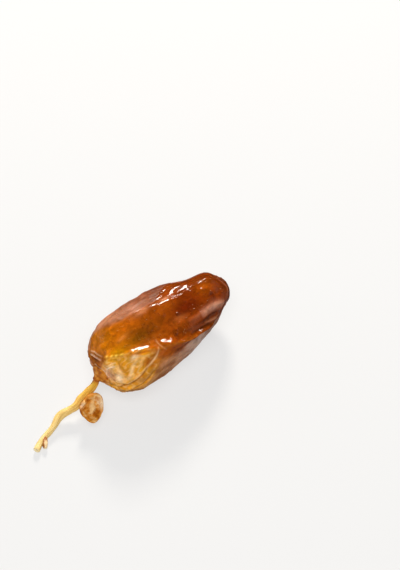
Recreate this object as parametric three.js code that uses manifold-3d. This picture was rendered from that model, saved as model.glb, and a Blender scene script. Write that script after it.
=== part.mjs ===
// A dried date of the branched kind, lying on its side with the piece of strand that it was cut with.
// Four pieces: the fruit, the woody cap (calyx) that its base sits in, the yellow strand that the cap
// grows on, and the bare cap further along the strand, whose own fruit has been picked.
// Millimetres. +X runs from the fruit's base to its tip, +Z is up, and Z = 0 is the surface it lies on.
import * as THREE from "three";
import { mergeVertices } from "three/addons/utils/BufferGeometryUtils.js";
import Module from "manifold-3d";

const wasm = await Module();
wasm.setup();

// The fruit's driving dimensions. Its widest place is nearer the base than the tip.
const BASE_TO_WIDEST = 13.5;
const WIDEST_TO_TIP = 27.5;
const HALF_WIDTH = 10.3;
const HALF_HEIGHT = 9.2;
const AXIS_HEIGHT = 8.9; // of the long axis above the surface: less than HALF_HEIGHT, as it has settled flat
const BASE_BLUNTNESS = [2.9, 2.4]; // exponents along and across: over 2 is blunter than an ellipse
const TIP_BLUNTNESS = [2.15, 2.0];
const PIT = { radius: 3.4, depth: 0.7, aside: 0.2, below: 0.3 }; // the base's hollow, off its middle
const FRUIT_ROWS = 60;
const FRUIT_COLUMNS = 80;

// The strand, from its old cut end to the stub just past the date's cap: [x, y, z, radius].
const STRAND_ROUTE = [
  [-37.8, -3.2, 0.9, 0.84],
  [-36.1, -2.3, 0.85, 0.8],
  [-33.9, -1.7, 0.95, 0.8],
  [-31.7, -1.4, 1.15, 0.8],
  [-29.6, -1.2, 1.4, 0.84],
  [-27.4, -0.3, 1.8, 1.02],
  [-25.8, -0.2, 2.2, 1.08],
  [-24.2, -0.6, 2.5, 1.04],
  [-22.3, -1.0, 3.1, 1.04],
  [-20.4, -0.6, 3.7, 1.14],
  [-18.7, -0.6, 4.7, 1.04],
  [-17.1, -0.8, 5.8, 0.98],
  [-15.8, -0.5, 6.1, 0.9],
  [-14.9, 0.1, 5.2, 0.78],
  [-14.2, 0.6, 4.2, 0.72],
];
const STRAND_STEPS = 46;
const STRAND_SIDES = 12;
const END_ROUNDING = 0.35; // how far the strand's cut ends bulge
const NUB_ROUTE = [
  [-33.7, -1.4, 1.1, 0.55],
  [-34.2, -2.4, 1.1, 0.64],
  [-35.0, -3.4, 1.0, 0.68],
  [-35.5, -4.1, 0.9, 0.5],
];
const NUB_STEPS = 8;
const NUB_SIDES = 8;

// The two caps. mouth is the way that a cap opens, and foot is where it grows from the strand.
const CAPS = {
  date_cap: { foot: [-15.15, 0.15, 8.15], mouth: [0.97, 0.02, 0.2], roll: 25, size: 0.82, depth: 0.42 },
  bare_cap: { foot: [-19.95, -2.1, 4.3], mouth: [-0.2, -0.95, 0.2], roll: 92, size: 1, depth: 0.98 },
};
const CAP_COLUMNS = 36;

// A cap's section, from its foot up the outside, over the rim and down the inside to its floor.
// sepal widens it between the petals, and out and up carry it further in the middle of each petal.
const CAP_SECTION = [
  { radius: 0.95, height: 0.0, sepal: 0, out: 0, up: 0 },
  { radius: 1.25, height: 0.5, sepal: 0, out: 0, up: 0 },
  { radius: 1.9, height: 1.0, sepal: 0.15, out: 0.05, up: 0 },
  { radius: 2.4, height: 1.6, sepal: 0.35, out: 0.1, up: 0 },
  { radius: 2.6, height: 2.2, sepal: 0.5, out: 0.2, up: 0.1 },
  { radius: 2.6, height: 2.45, sepal: 0.1, out: 0.3, up: 0.2 },
  { radius: 2.7, height: 2.7, sepal: 0, out: 0.5, up: 0.5 },
  { radius: 2.6, height: 2.9, sepal: 0, out: 0.75, up: 0.9 },
  { radius: 2.05, height: 2.9, sepal: 0, out: 0.7, up: 0.9 },
  { radius: 1.7, height: 2.3, sepal: 0, out: 0.35, up: 0.5 },
  { radius: 1.3, height: 1.8, sepal: 0, out: 0, up: 0.1 },
  { radius: 0.7, height: 1.75, sepal: 0, out: 0, up: 0 },
];
const CAP_FLOOR = 2.1; // height of the boss in the middle, where the fruit was joined

// Folds of the skin. Each runs through points [mm along the skin from the middle of the base, degrees round],
// where 0 degrees is the +Y side, 90 the top, 180 the -Y side and 270 the underside.
// height is positive for a ridge and negative for a furrow, and width is half the width of its foot.
const FOLDS = [
  { name: "upper crest", height: 0.75, width: 1.5,
    path: [[7.8, 28], [10.5, 43], [13.8, 57], [18.4, 68], [23.6, 74], [27.5, 79], [31.5, 83], [36.6, 84], [41, 88]] },
  { name: "bump beside the upper crest", height: 0.35, width: 1.1,
    path: [[29.5, 72], [32.5, 71], [36, 68]] },
  { name: "valley of the face", height: -0.9, width: 3.0,
    path: [[7.5, 88], [12.2, 99], [17.3, 104], [22.6, 107], [29.5, 108], [36, 110]] },
  { name: "lower crest", height: 0.7, width: 1.4,
    path: [[5.5, 86], [8.2, 105], [12, 115], [16.4, 125], [21.3, 135], [25.7, 147], [33.2, 159], [39.3, 165]] },
  { name: "pale fold by the tip", height: 0.5, width: 1.2,
    path: [[24.5, 136], [29.6, 133], [35.4, 134], [38.6, 138], [41.5, 150]] },
  { name: "furrow under the pale fold", height: -0.5, width: 0.9,
    path: [[24.3, 146], [29.9, 147], [34.2, 148], [39, 155]] },
  { name: "crease round the lobe", height: -0.5, width: 0.75,
    path: [[3.6, 228], [4.9, 201], [7.2, 181], [9.9, 167], [12.2, 157], [15.2, 146], [18.0, 140], [19.6, 132]] },
  { name: "roll under the lobe", height: 0.3, width: 0.9,
    path: [[5.6, 214], [8.2, 193], [11, 175], [14.3, 161], [17.5, 153]] },
  { name: "second crease", height: -0.4, width: 0.85,
    path: [[5.9, 237], [7.5, 210], [10, 186], [14, 166], [18, 156], [22, 158]] },
  { name: "crease across the face", height: -0.16, width: 0.7,
    path: [[20.6, 84], [18.9, 100], [18.8, 126], [19.9, 150]] },
  { name: "furrow along the side", height: -0.6, width: 0.85,
    path: [[21.5, 158], [27.6, 165], [31.9, 169], [35.1, 173], [39.5, 176]] },
  { name: "side roll", height: 0.3, width: 1.6,
    path: [[15, 176], [22, 178], [29, 182], [36, 186]] },
  { name: "furrow below the side roll", height: -0.4, width: 1.0,
    path: [[9, 208], [17, 200], [25, 203], [34, 205], [40, 212]] },
  { name: "far side ridge", height: 0.5, width: 1.3,
    path: [[7, 345], [13, 352], [21, 348], [29, 355], [37, 350], [42, 352]] },
  { name: "far side furrow", height: -0.65, width: 1.2,
    path: [[6, 8], [12, 14], [19, 12], [27, 19], [34, 14], [40, 10]] },
  { name: "far side second furrow", height: -0.55, width: 1.0,
    path: [[9, 331], [16, 334], [23, 328], [31, 335], [38, 330]] },
  { name: "far side branch", height: 0.35, width: 0.9,
    path: [[19, 349], [22.5, 4], [25, 22], [27.5, 38]] },
  { name: "far side upper furrow", height: -0.45, width: 1.1,
    path: [[12, 38], [17, 44], [23, 50], [28, 52]] },
  { name: "tip pleat one", height: -0.35, width: 0.8,
    path: [[40.5, 62], [43.5, 66], [46.5, 74]] },
  { name: "tip pleat two", height: -0.35, width: 0.8,
    path: [[40, 205], [43.5, 212], [46.5, 222]] },
  { name: "tip pleat three", height: -0.35, width: 0.8,
    path: [[39.5, 305], [43.5, 312], [46.5, 305]] },
];

// Broad swellings and hollows of the flesh: where, how high, and how far they reach, in mm.
const SWELLINGS = [
  { name: "lobe at the base", at: [9.8, 140], height: 0.55, reach: 4.6 },
  { name: "sunken shoulder", at: [37.0, 52], height: -1.25, reach: 4.6 },
  { name: "shoulder behind the tip", at: [43.5, 62], height: 0.35, reach: 2.6 },
  { name: "full side", at: [15, 200], height: 0.15, reach: 6 },
  { name: "full far side", at: [14, 350], height: 0.35, reach: 6 },
  { name: "hollow far flank", at: [29, 10], height: -0.6, reach: 5 },
  { name: "lean lower flank", at: [36, 185], height: -0.3, reach: 4.5 },
  { name: "lean side of the tip", at: [42.5, 190], height: -0.75, reach: 4.2 },
  { name: "dimple by the tip", at: [42.0, 118], height: -0.4, reach: 1.2 },
];

// Pleats that draw the skin in towards the cap, all round the base.
const BASE_PLEATS = { count: 11, height: 0.26, from: 4.2, to: 9.5 };

// The fruit's outline from the middle of its base to its tip: arc is the way along the skin.
const OUTLINE = makeOutline();

function makeOutline() {
  const steps = 800;
  const points = [];
  for (let i = 0; i <= steps; i++) {
    const quarter = (i / steps) * Math.PI * 0.5;
    const x = -BASE_TO_WIDEST * Math.cos(quarter);
    points.push([x, bluntRadius(-x / BASE_TO_WIDEST, BASE_BLUNTNESS)]);
  }
  for (let i = 1; i <= steps; i++) {
    const x = WIDEST_TO_TIP * Math.sin((i / steps) * Math.PI * 0.5);
    points.push([x, bluntRadius(x / WIDEST_TO_TIP, TIP_BLUNTNESS)]);
  }
  const meanRadius = (HALF_WIDTH + HALF_HEIGHT) / 2;
  let arc = 0;
  return points.map(([x, radius], i) => {
    if (i) arc += Math.hypot(x - points[i - 1][0], (radius - points[i - 1][1]) * meanRadius);
    return { x, radius, arc };
  });
}

// The share of the full radius left at a share of the way from the widest place to an end.
function bluntRadius(share, [along, across]) {
  return Math.pow(Math.max(0, 1 - Math.pow(Math.min(1, share), along)), 1 / across);
}

function skinLength() {
  return OUTLINE[OUTLINE.length - 1].arc;
}

function outlineAt(arc) {
  let low = 0;
  let high = OUTLINE.length - 1;
  while (high - low > 1) {
    const middle = (low + high) >> 1;
    if (OUTLINE[middle].arc <= arc) low = middle;
    else high = middle;
  }
  const a = OUTLINE[low];
  const b = OUTLINE[high];
  const share = THREE.MathUtils.clamp((arc - a.arc) / (b.arc - a.arc), 0, 1);
  return { x: a.x + (b.x - a.x) * share, radius: a.radius + (b.radius - a.radius) * share };
}

// A point of the plain form, before its folds.
function plainSkin(arc, degrees) {
  const { x, radius } = outlineAt(arc);
  const turn = THREE.MathUtils.degToRad(degrees);
  const y = HALF_WIDTH * radius * Math.cos(turn);
  const z = HALF_HEIGHT * radius * Math.sin(turn);
  const outwards = Math.hypot(y - PIT.aside, z + PIT.below) / PIT.radius; // 1 at the hollow's edge
  const pit = x < 0 && outwards < 1 ? PIT.depth * Math.pow(1 - outwards * outwards, 2) : 0;
  return new THREE.Vector3(x + pit, y, z + AXIS_HEIGHT);
}

function skinNormal(arc, degrees) {
  const step = 0.05;
  const inside = THREE.MathUtils.clamp(arc, 2 * step, skinLength() - 2 * step);
  const along = plainSkin(inside + step, degrees).sub(plainSkin(inside - step, degrees));
  const round = plainSkin(inside, degrees + 1).sub(plainSkin(inside, degrees - 1));
  return along.cross(round).normalize().negate();
}

// How much of a bump is left at a distance from its middle line, as a share of its half width.
function falloff(share) {
  return Math.exp(-share * share);
}

// Each fold's path as closely spaced points on the plain skin, with its height fading out at both ends.
const FOLD_LINES = FOLDS.map((fold) => {
  const curve = new THREE.CatmullRomCurve3(
    unwrap(fold.path).map(([arc, degrees]) => new THREE.Vector3(arc, degrees, 0)),
    false,
    "centripetal",
  );
  const samples = 40;
  return Array.from({ length: samples + 1 }, (_, i) => {
    const share = i / samples;
    const at = curve.getPoint(share);
    return { point: plainSkin(at.x, at.y), height: fold.height * Math.pow(Math.sin(Math.PI * share), 0.6) };
  });
});

// Turns past 0 and 360 degrees kept continuous along a path.
function unwrap(path) {
  let last = path[0][1];
  return path.map(([arc, degrees]) => {
    last += THREE.MathUtils.euclideanModulo(degrees - last + 180, 360) - 180;
    return [arc, last];
  });
}

function foldHeight(point) {
  let sum = 0;
  FOLDS.forEach((fold, i) => {
    const line = FOLD_LINES[i];
    let nearest = Infinity;
    let height = 0;
    for (let k = 1; k < line.length; k++) {
      const a = line[k - 1];
      const b = line[k];
      const span = b.point.clone().sub(a.point);
      const away = point.clone().sub(a.point);
      const share = THREE.MathUtils.clamp(away.dot(span) / span.lengthSq(), 0, 1);
      const distance = away.addScaledVector(span, -share).length();
      if (distance < nearest) {
        nearest = distance;
        height = a.height + (b.height - a.height) * share;
      }
    }
    sum += height * falloff(nearest / fold.width);
  });
  return sum;
}

const SWELLING_POINTS = SWELLINGS.map(({ at }) => plainSkin(...at));

function swellingHeight(point) {
  return SWELLINGS.reduce(
    (sum, { height, reach }, i) => sum + height * falloff(point.distanceTo(SWELLING_POINTS[i]) / reach),
    0,
  );
}

function pleatHeight(arc, degrees) {
  const { count, height, from, to } = BASE_PLEATS;
  const share = (arc - from) / (to - from);
  if (share <= 0 || share >= 1) return 0;
  const turn = THREE.MathUtils.degToRad(degrees);
  const uneven = 0.9 * Math.sin(2 * turn + 0.7) + 0.6 * Math.sin(3 * turn + 2.1);
  return height * Math.sin(Math.PI * share) * Math.cos(count * turn + uneven);
}

// Slow unevenness that no dried fruit is without.
function unevenness({ x, y, z }) {
  return (
    0.14 * Math.sin(0.42 * x + 0.3 * y + 1.0) * Math.sin(0.5 * z + 0.35 * y) +
    0.08 * Math.sin(0.9 * x - 0.6 * z + 2.0) * Math.sin(0.8 * y + 0.5)
  );
}

function skin(arc, degrees) {
  const point = plainSkin(arc, degrees);
  const height = foldHeight(point) + swellingHeight(point) + pleatHeight(arc, degrees) + unevenness(point);
  point.addScaledVector(skinNormal(arc, degrees), height);
  point.z = Math.max(point.z, 0); // it has settled flat where it rests
  return point;
}

// A closed body from rings of points, each ring the same size, with a point that closes each end.
function ringBody(start, rings, end) {
  const columns = rings[0].length;
  const points = [start, ...rings.flat(), end];
  const at = (row, column) => 1 + row * columns + (column % columns);
  const faces = [];
  for (let column = 0; column < columns; column++) {
    faces.push(0, at(0, column + 1), at(0, column));
    for (let row = 0; row + 1 < rings.length; row++) {
      faces.push(at(row, column), at(row, column + 1), at(row + 1, column));
      faces.push(at(row, column + 1), at(row + 1, column + 1), at(row + 1, column));
    }
    faces.push(points.length - 1, at(rings.length - 1, column), at(rings.length - 1, column + 1));
  }
  const geometry = new THREE.BufferGeometry();
  geometry.setAttribute("position", new THREE.Float32BufferAttribute(points.flatMap((p) => p.toArray()), 3));
  geometry.setIndex(faces);
  return geometry;
}

function fruitGeometry() {
  const length = skinLength();
  const rings = [];
  for (let row = 1; row < FRUIT_ROWS; row++) {
    const arc = (length * row) / FRUIT_ROWS;
    rings.push(Array.from({ length: FRUIT_COLUMNS }, (_, i) => skin(arc, (360 * i) / FRUIT_COLUMNS)));
  }
  return ringBody(skin(0, 0), rings, skin(length, 0));
}

// A tube through points [x, y, z, radius], slightly ribbed along its length, with bulging ends.
function tube(route, steps, sides) {
  const centres = route.map(([x, y, z]) => new THREE.Vector3(x, y, z));
  const curve = new THREE.CatmullRomCurve3(centres, false, "centripetal");
  const radii = new THREE.SplineCurve(route.map(([, , , radius], i) => new THREE.Vector2(i, radius)));
  const frames = curve.computeFrenetFrames(steps, false);
  const rings = [];
  for (let i = 0; i <= steps; i++) {
    const centre = curve.getPoint(i / steps);
    const radius = radii.getPoint(i / steps).y * (i === 0 || i === steps ? 0.86 : 1);
    rings.push(
      Array.from({ length: sides }, (_, k) => {
        const turn = (2 * Math.PI * k) / sides;
        const rib = 1 + 0.05 * Math.cos(3 * turn + 0.35 * i);
        return centre
          .clone()
          .addScaledVector(frames.normals[i], radius * rib * Math.cos(turn))
          .addScaledVector(frames.binormals[i], radius * rib * Math.sin(turn));
      }),
    );
  }
  const start = curve.getPoint(0).addScaledVector(curve.getTangent(0), -END_ROUNDING);
  const end = curve.getPoint(1).addScaledVector(curve.getTangent(1), END_ROUNDING);
  return ringBody(start, rings, end);
}

function solid(geometry) {
  const merged = mergeVertices(geometry, 1e-5);
  const mesh = new wasm.Mesh({
    numProp: 3,
    vertProperties: new Float32Array(merged.attributes.position.array),
    triVerts: new Uint32Array(merged.index.array),
  });
  const made = new wasm.Manifold(mesh);
  if (made.volume() >= 0) return made;
  for (let i = 0; i < mesh.triVerts.length; i += 3) {
    [mesh.triVerts[i + 1], mesh.triVerts[i + 2]] = [mesh.triVerts[i + 2], mesh.triVerts[i + 1]];
  }
  return new wasm.Manifold(mesh);
}

function geometryOf(manifold) {
  const mesh = manifold.getMesh();
  const geometry = new THREE.BufferGeometry();
  geometry.setAttribute("position", new THREE.Float32BufferAttribute(mesh.vertProperties, 3));
  geometry.setIndex([...mesh.triVerts]);
  return geometry;
}

function strandGeometry() {
  const strand = solid(tube(STRAND_ROUTE, STRAND_STEPS, STRAND_SIDES));
  const nub = solid(tube(NUB_ROUTE, NUB_STEPS, NUB_SIDES));
  return geometryOf(strand.add(nub));
}

// A woody cap: a cup whose rim rises into three broad petals, with three short sepals outside between them.
function capGeometry({ foot, mouth, roll, size, depth }) {
  const rings = CAP_SECTION.map(({ radius, height, sepal, out, up }) =>
    Array.from({ length: CAP_COLUMNS }, (_, k) => {
      const turn = (2 * Math.PI * k) / CAP_COLUMNS;
      const petal = Math.pow(Math.abs(Math.cos(1.5 * turn)), 0.6);
      const between = Math.pow(Math.max(0, -Math.cos(3 * turn)), 0.6);
      const reach = radius + sepal * between + out * petal;
      return new THREE.Vector3(reach * Math.cos(turn), reach * Math.sin(turn), height + up * petal);
    }),
  );
  const geometry = ringBody(new THREE.Vector3(0, 0, -0.1), rings, new THREE.Vector3(0, 0, CAP_FLOOR));
  geometry.rotateZ(THREE.MathUtils.degToRad(roll));
  geometry.scale(size, size, size * depth);
  const axis = new THREE.Vector3(...mouth).normalize();
  geometry.applyQuaternion(new THREE.Quaternion().setFromUnitVectors(new THREE.Vector3(0, 0, 1), axis));
  geometry.translate(...foot);
  return geometry;
}

function piece(name, geometry, colour, roughness) {
  const material = new THREE.MeshStandardMaterial({ color: colour, roughness, metalness: 0 });
  const mesh = new THREE.Mesh(geometry, material);
  mesh.name = name;
  geometry.computeVertexNormals();
  return mesh;
}

const date = new THREE.Group();
date.name = "dried_date";
date.add(piece("fruit", fruitGeometry(), 0x9c4a0c, 0.3));
date.add(piece("strand", strandGeometry(), 0xd9a94a, 0.6));
for (const [name, cap] of Object.entries(CAPS)) date.add(piece(name, capGeometry(cap), 0xb9762f, 0.7));

// The origin is on the surface, below the middle of the whole thing.
const box = new THREE.Box3().setFromObject(date);
const middle = box.getCenter(new THREE.Vector3());
date.position.set(-middle.x, -middle.y, 0);

export default date;
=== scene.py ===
import math

import bpy
import numpy as np
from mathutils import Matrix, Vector, noise


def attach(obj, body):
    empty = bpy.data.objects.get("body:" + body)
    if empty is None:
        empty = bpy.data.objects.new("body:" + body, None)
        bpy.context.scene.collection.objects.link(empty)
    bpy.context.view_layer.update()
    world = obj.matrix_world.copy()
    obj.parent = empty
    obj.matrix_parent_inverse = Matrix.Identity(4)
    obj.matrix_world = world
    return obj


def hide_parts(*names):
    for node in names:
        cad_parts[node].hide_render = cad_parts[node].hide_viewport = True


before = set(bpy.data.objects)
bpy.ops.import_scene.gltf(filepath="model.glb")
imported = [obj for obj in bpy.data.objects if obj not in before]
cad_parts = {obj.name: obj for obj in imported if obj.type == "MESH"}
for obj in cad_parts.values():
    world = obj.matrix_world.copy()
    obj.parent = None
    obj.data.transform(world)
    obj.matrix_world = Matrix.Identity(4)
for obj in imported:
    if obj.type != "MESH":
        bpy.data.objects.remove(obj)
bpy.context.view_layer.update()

MM = 0.001
SHIFT = np.array([5.32, -0.188, 0.0])  # from the fruit's widest place to the frame's origin

# The fruit's driving dimensions
BASE_TO_WIDEST = 13.5
WIDEST_TO_TIP = 27.5
HALF_WIDTH = 10.3
HALF_HEIGHT = 9.2
AXIS_HEIGHT = 8.9
BASE_BLUNTNESS = (2.9, 2.4)  # the outline's exponents, along and across
TIP_BLUNTNESS = (2.15, 2.0)
FRUIT_ROWS = 290
FRUIT_COLUMNS = 340
PATH_STEPS = 40  # straight pieces that the path of a fold is cut into
FINE_PATH_STEPS = 24

# Folds of the skin: name, height, width or the widths of its two sides, and a path of points [mm along the
# skin from the base, degrees round it], where 0 degrees is the +Y side, 90 the top, 180 the -Y side and 270
# the underside. A furrow's height is negative.
FOLDS = [
    ("upper crest", 0.8, (1.4, 2.2),
     [[7.8, 28], [10.5, 43], [13.8, 57], [18.4, 69], [23.6, 79], [27.5, 84.5], [31.5, 88], [35, 90]]),
    ("ridge past the upper crest", 0.3, (1.2, 1),
     [[28.8, 76], [30.5, 71], [32.2, 67.5], [34, 66.5], [36, 65], [37.8, 60]]),
    ("valley of the face", -0.9, (3.2, 2.2),
     [[7.5, 88], [12.2, 101], [17.3, 108], [22.6, 111], [29.5, 111], [36, 112]]),
    ("lower crest", 0.7, (1.2, 1.8),
     [[5.5, 88], [8.2, 107.5], [12, 119.8], [16.4, 130], [19.5, 136], [22.5, 140], [25.7, 147], [33.2, 159],
      [39.3, 165]]),
    ("pale fold by the tip", 0.48, (0.9, 0.8),
     [[29, 128], [32.5, 129], [35.6, 130.5], [38.6, 135], [41, 142], [43.2, 151]]),
    ("dark furrow", -0.6, (0.55, 0.95),
     [[29.5, 140], [32.5, 143], [34.6, 144.5], [36.7, 146], [38.6, 152], [40.4, 163], [42, 173]]),
    ("crease round the lobe", -0.5, 0.75,
     [[3.6, 228], [4.9, 201], [7.2, 181], [9.9, 167], [12.2, 157], [15.2, 146], [18, 140], [19.6, 132]]),
    ("roll under the lobe", 0.3, 0.9, [[5.6, 214], [8.2, 193], [11, 175], [14.3, 161], [17.5, 153]]),
    ("second crease", -0.4, 0.85, [[5.9, 237], [7.5, 210], [10, 186], [14, 166], [18, 156], [22, 158]]),
    ("crease across the face", -0.16, 0.7, [[20.6, 84], [18.9, 100], [18.8, 126], [19.9, 150]]),
    ("furrow along the side", -0.6, 0.75,
     [[21.5, 154], [24.5, 156], [27.9, 159.5], [31.3, 163], [35.2, 166], [39.5, 172]]),
    ("side roll", 0.3, 1.6, [[15, 176], [22, 178], [29, 182], [36, 186]]),
    ("furrow below the side roll", -0.4, 1, [[9, 208], [17, 200], [25, 203], [34, 205], [40, 212]]),
    ("lean near flank", -1.6, (2, 5),
     [[12, 192], [18, 184], [23, 178], [29, 172], [34, 172], [40, 178], [46, 184]]),
    ("far side ridge", 0.5, 1.3, [[7, 345], [13, 352], [21, 348], [29, 355], [37, 350], [42, 352]]),
    ("far side furrow", -0.65, 1.2, [[6, 8], [12, 14], [19, 12], [27, 19], [34, 14], [40, 10]]),
    ("far side second furrow", -0.55, 1, [[9, 331], [16, 334], [23, 328], [31, 335], [38, 330]]),
    ("far side branch", 0.35, 0.9, [[19, 349], [22.5, 4], [25, 22], [27.5, 38]]),
    ("far side upper furrow", -0.1, 1.1, [[12, 38], [17, 44], [23, 50], [28, 52]]),
    ("tip pleat one", -0.35, 0.8, [[40.5, 62], [43.5, 66], [46.5, 74]]),
    ("tip pleat two", -0.35, 0.8, [[40, 205], [43.5, 212], [46.5, 222]]),
    ("tip pleat three", -0.35, 0.8, [[39.5, 305], [43.5, 312], [46.5, 305]]),
]

# Broad swellings and hollows: name, (mm along, degrees) of the middle, height, and reach in mm
SWELLINGS = [
    ("lobe at the base", (9.8, 140), 0.55, 4.6),
    ("sunken shoulder", (38, 34), -0.8, 3.2),
    ("far shoulder by the base", (14.5, 44), 0.4, 4.5),
    ("far shoulder", (21, 46), 0.3, 4),
    ("far shoulder past the middle", (27.5, 44), 0.65, 3.6),
    ("far shoulder towards the tip", (32, 42), 0.25, 3),
    ("shoulder behind the tip", (43, 66), 0.9, 3),
    ("rise by the tip", (41.2, 80), 0.3, 2.4),
    ("lean end of the tip", (46, 105), -0.45, 3),
    ("full side", (15, 200), 0.15, 6),
    ("full far side", (14, 350), 0.35, 6),
    ("hollow far flank", (29, 10), -0.6, 5),
    ("lean belly by the tip", (34, 215), -0.48, 4.2),
    ("lean side of the tip", (43, 190), -0.7, 3.6),
    ("dimple by the tip", (42, 118), -0.4, 1.2),
]

# Pleats round the base, between two places along the skin
BASE_PLEATS = {"count": 11, "height": 0.26, "from": 4.2, "to": 9.5}


def make_outline():
    """The plain form from base to tip: mm along the skin, x, and the share of the full width there."""
    quarter = np.linspace(0, np.pi / 2, 801)
    back = -BASE_TO_WIDEST * np.cos(quarter)
    front = WIDEST_TO_TIP * np.sin(quarter[1:])
    x = np.concatenate([back, front])
    towards_base = blunt(-back / BASE_TO_WIDEST, BASE_BLUNTNESS)
    towards_tip = blunt(front / WIDEST_TO_TIP, TIP_BLUNTNESS)
    radius = np.concatenate([towards_base, towards_tip])
    steps = np.hypot(np.diff(x), np.diff(radius) * (HALF_WIDTH + HALF_HEIGHT) / 2)
    return np.concatenate([[0], np.cumsum(steps)]), x, radius


def blunt(share, exponents):
    """The outline's width, from 1 to 0, at a share of the way from the widest place to an end."""
    along, across = exponents
    return np.clip(1 - np.clip(share, 0, 1) ** along, 0, 1) ** (1 / across)


OUTLINE = make_outline()
SKIN_LENGTH = OUTLINE[0][-1]


def plain_skin(arc, degrees):
    """Points of the plain form, before its folds."""
    x = np.interp(arc, OUTLINE[0], OUTLINE[1])
    radius = np.interp(arc, OUTLINE[0], OUTLINE[2])
    turn = np.radians(degrees)
    y = HALF_WIDTH * radius * np.cos(turn)
    z = HALF_HEIGHT * radius * np.sin(turn)
    return np.stack([x, y, z + AXIS_HEIGHT], axis=-1)


def unit(vectors):
    return vectors / np.maximum(np.linalg.norm(vectors, axis=-1, keepdims=True), 1e-12)


def skin_normal(arc, degrees):
    step = 0.05
    inside = np.clip(arc, 2 * step, SKIN_LENGTH - 2 * step)
    along = plain_skin(inside + step, degrees) - plain_skin(inside - step, degrees)
    round_it = plain_skin(inside, degrees + 1) - plain_skin(inside, degrees - 1)
    return -unit(np.cross(along, round_it))


def spline(points, samples):
    """A smooth line through the points, with the given number of steps in all."""
    points = np.asarray(points, float)
    padded = np.vstack([2 * points[0] - points[1], points, 2 * points[-1] - points[-2]])
    at = np.linspace(0, len(points) - 1, samples + 1)
    left = np.minimum(at.astype(int), len(points) - 2)
    t = (at - left)[:, None]
    p0, p1, p2, p3 = (padded[left + k] for k in range(4))
    return 0.5 * (
        2 * p1
        + (p2 - p0) * t
        + (2 * p0 - 5 * p1 + 4 * p2 - p3) * t ** 2
        + (3 * p1 - p0 - 3 * p2 + p3) * t ** 3
    )


def unwrapped(path):
    arcs, degrees = zip(*path)
    return np.stack([arcs, np.degrees(np.unwrap(np.radians(degrees)))], axis=-1)


def nearest_on(line, normals, points):
    """Each point's distance to a line on the skin, how far along the line its nearest place is, from 0 to 1,
    and on which side of the line it lies."""
    best = np.full(len(points), np.inf)
    where = np.zeros(len(points))
    side = np.zeros(len(points))
    for k in range(len(line) - 1):
        span = line[k + 1] - line[k]
        away = points - line[k]
        share = np.clip(away @ span / (span @ span), 0, 1)
        distance = np.linalg.norm(away - share[:, None] * span, axis=1)
        closer = distance < best
        best[closer] = distance[closer]
        where[closer] = (k + share[closer]) / (len(line) - 1)
        side[closer] = away[closer] @ np.cross(span, normals[k])
    return best, where, side


def near_path(points, path, reach, steps):
    """Which points are near a path on the skin, and for those what nearest_on says."""
    route = spline(unwrapped(path), steps)
    line = plain_skin(*route.T)
    close = ((points > line.min(axis=0) - reach) & (points < line.max(axis=0) + reach)).all(axis=1)
    return close, *nearest_on(line, skin_normal(*route.T), points[close])


def ridge(points, path, widths, taper, steps=PATH_STEPS):
    """A soft ridge of height 1 along a path on the skin, fading out towards the path's ends. Its two widths
    are those of its far and near sides, on the left and on the right when looking along the path."""
    far, near = widths if isinstance(widths, tuple) else (widths, widths)
    close, distance, where, side = near_path(points, path, 3 * max(far, near), steps)
    width = np.where(side > 0, near, far)
    height = np.zeros(len(points))
    height[close] = np.sin(np.pi * where).clip(0, 1) ** taper * np.exp(-(distance / width) ** 2)
    return height


def tilted(points, path, width):
    """A strip of skin along a path, tilted so that it rises by 1 for each mm towards its near side."""
    close, distance, where, side = near_path(points, path, 3 * width, FINE_PATH_STEPS)
    across = distance * np.sign(side)
    height = np.zeros(len(points))
    height[close] = np.sin(np.pi * where).clip(0, 1) ** 0.5 * across * np.exp(-(distance / width) ** 2)
    return height


def fold_height(points):
    return sum(height * ridge(points, path, width, 0.6) for _, height, width, path in FOLDS)


def swelling_height(points):
    total = np.zeros(len(points))
    for _, at, height, reach in SWELLINGS:
        total += height * np.exp(-(np.linalg.norm(points - plain_skin(*at), axis=1) / reach) ** 2)
    return total


def pleat_height(arc, degrees):
    share = np.clip((arc - BASE_PLEATS["from"]) / (BASE_PLEATS["to"] - BASE_PLEATS["from"]), 0, 1)
    turn = np.radians(degrees)
    uneven = 0.9 * np.sin(2 * turn + 0.7) + 0.6 * np.sin(3 * turn + 2.1)
    return BASE_PLEATS["height"] * np.sin(np.pi * share) * np.cos(BASE_PLEATS["count"] * turn + uneven)


def unevenness(points):
    x, y, z = points.T
    return (
        0.14 * np.sin(0.42 * x + 0.3 * y + 1.0) * np.sin(0.5 * z + 0.35 * y)
        + 0.08 * np.sin(0.9 * x - 0.6 * z + 2.0) * np.sin(0.8 * y + 0.5)
    )


def noise_at(points, size, seed=0.0):
    """Smooth noise from -1 to 1, with bumps of the given size in mm: one number, or one for each axis."""
    scaled = points / np.asarray(size) + seed
    return np.array([noise.noise(p) for p in scaled.tolist()])


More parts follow.
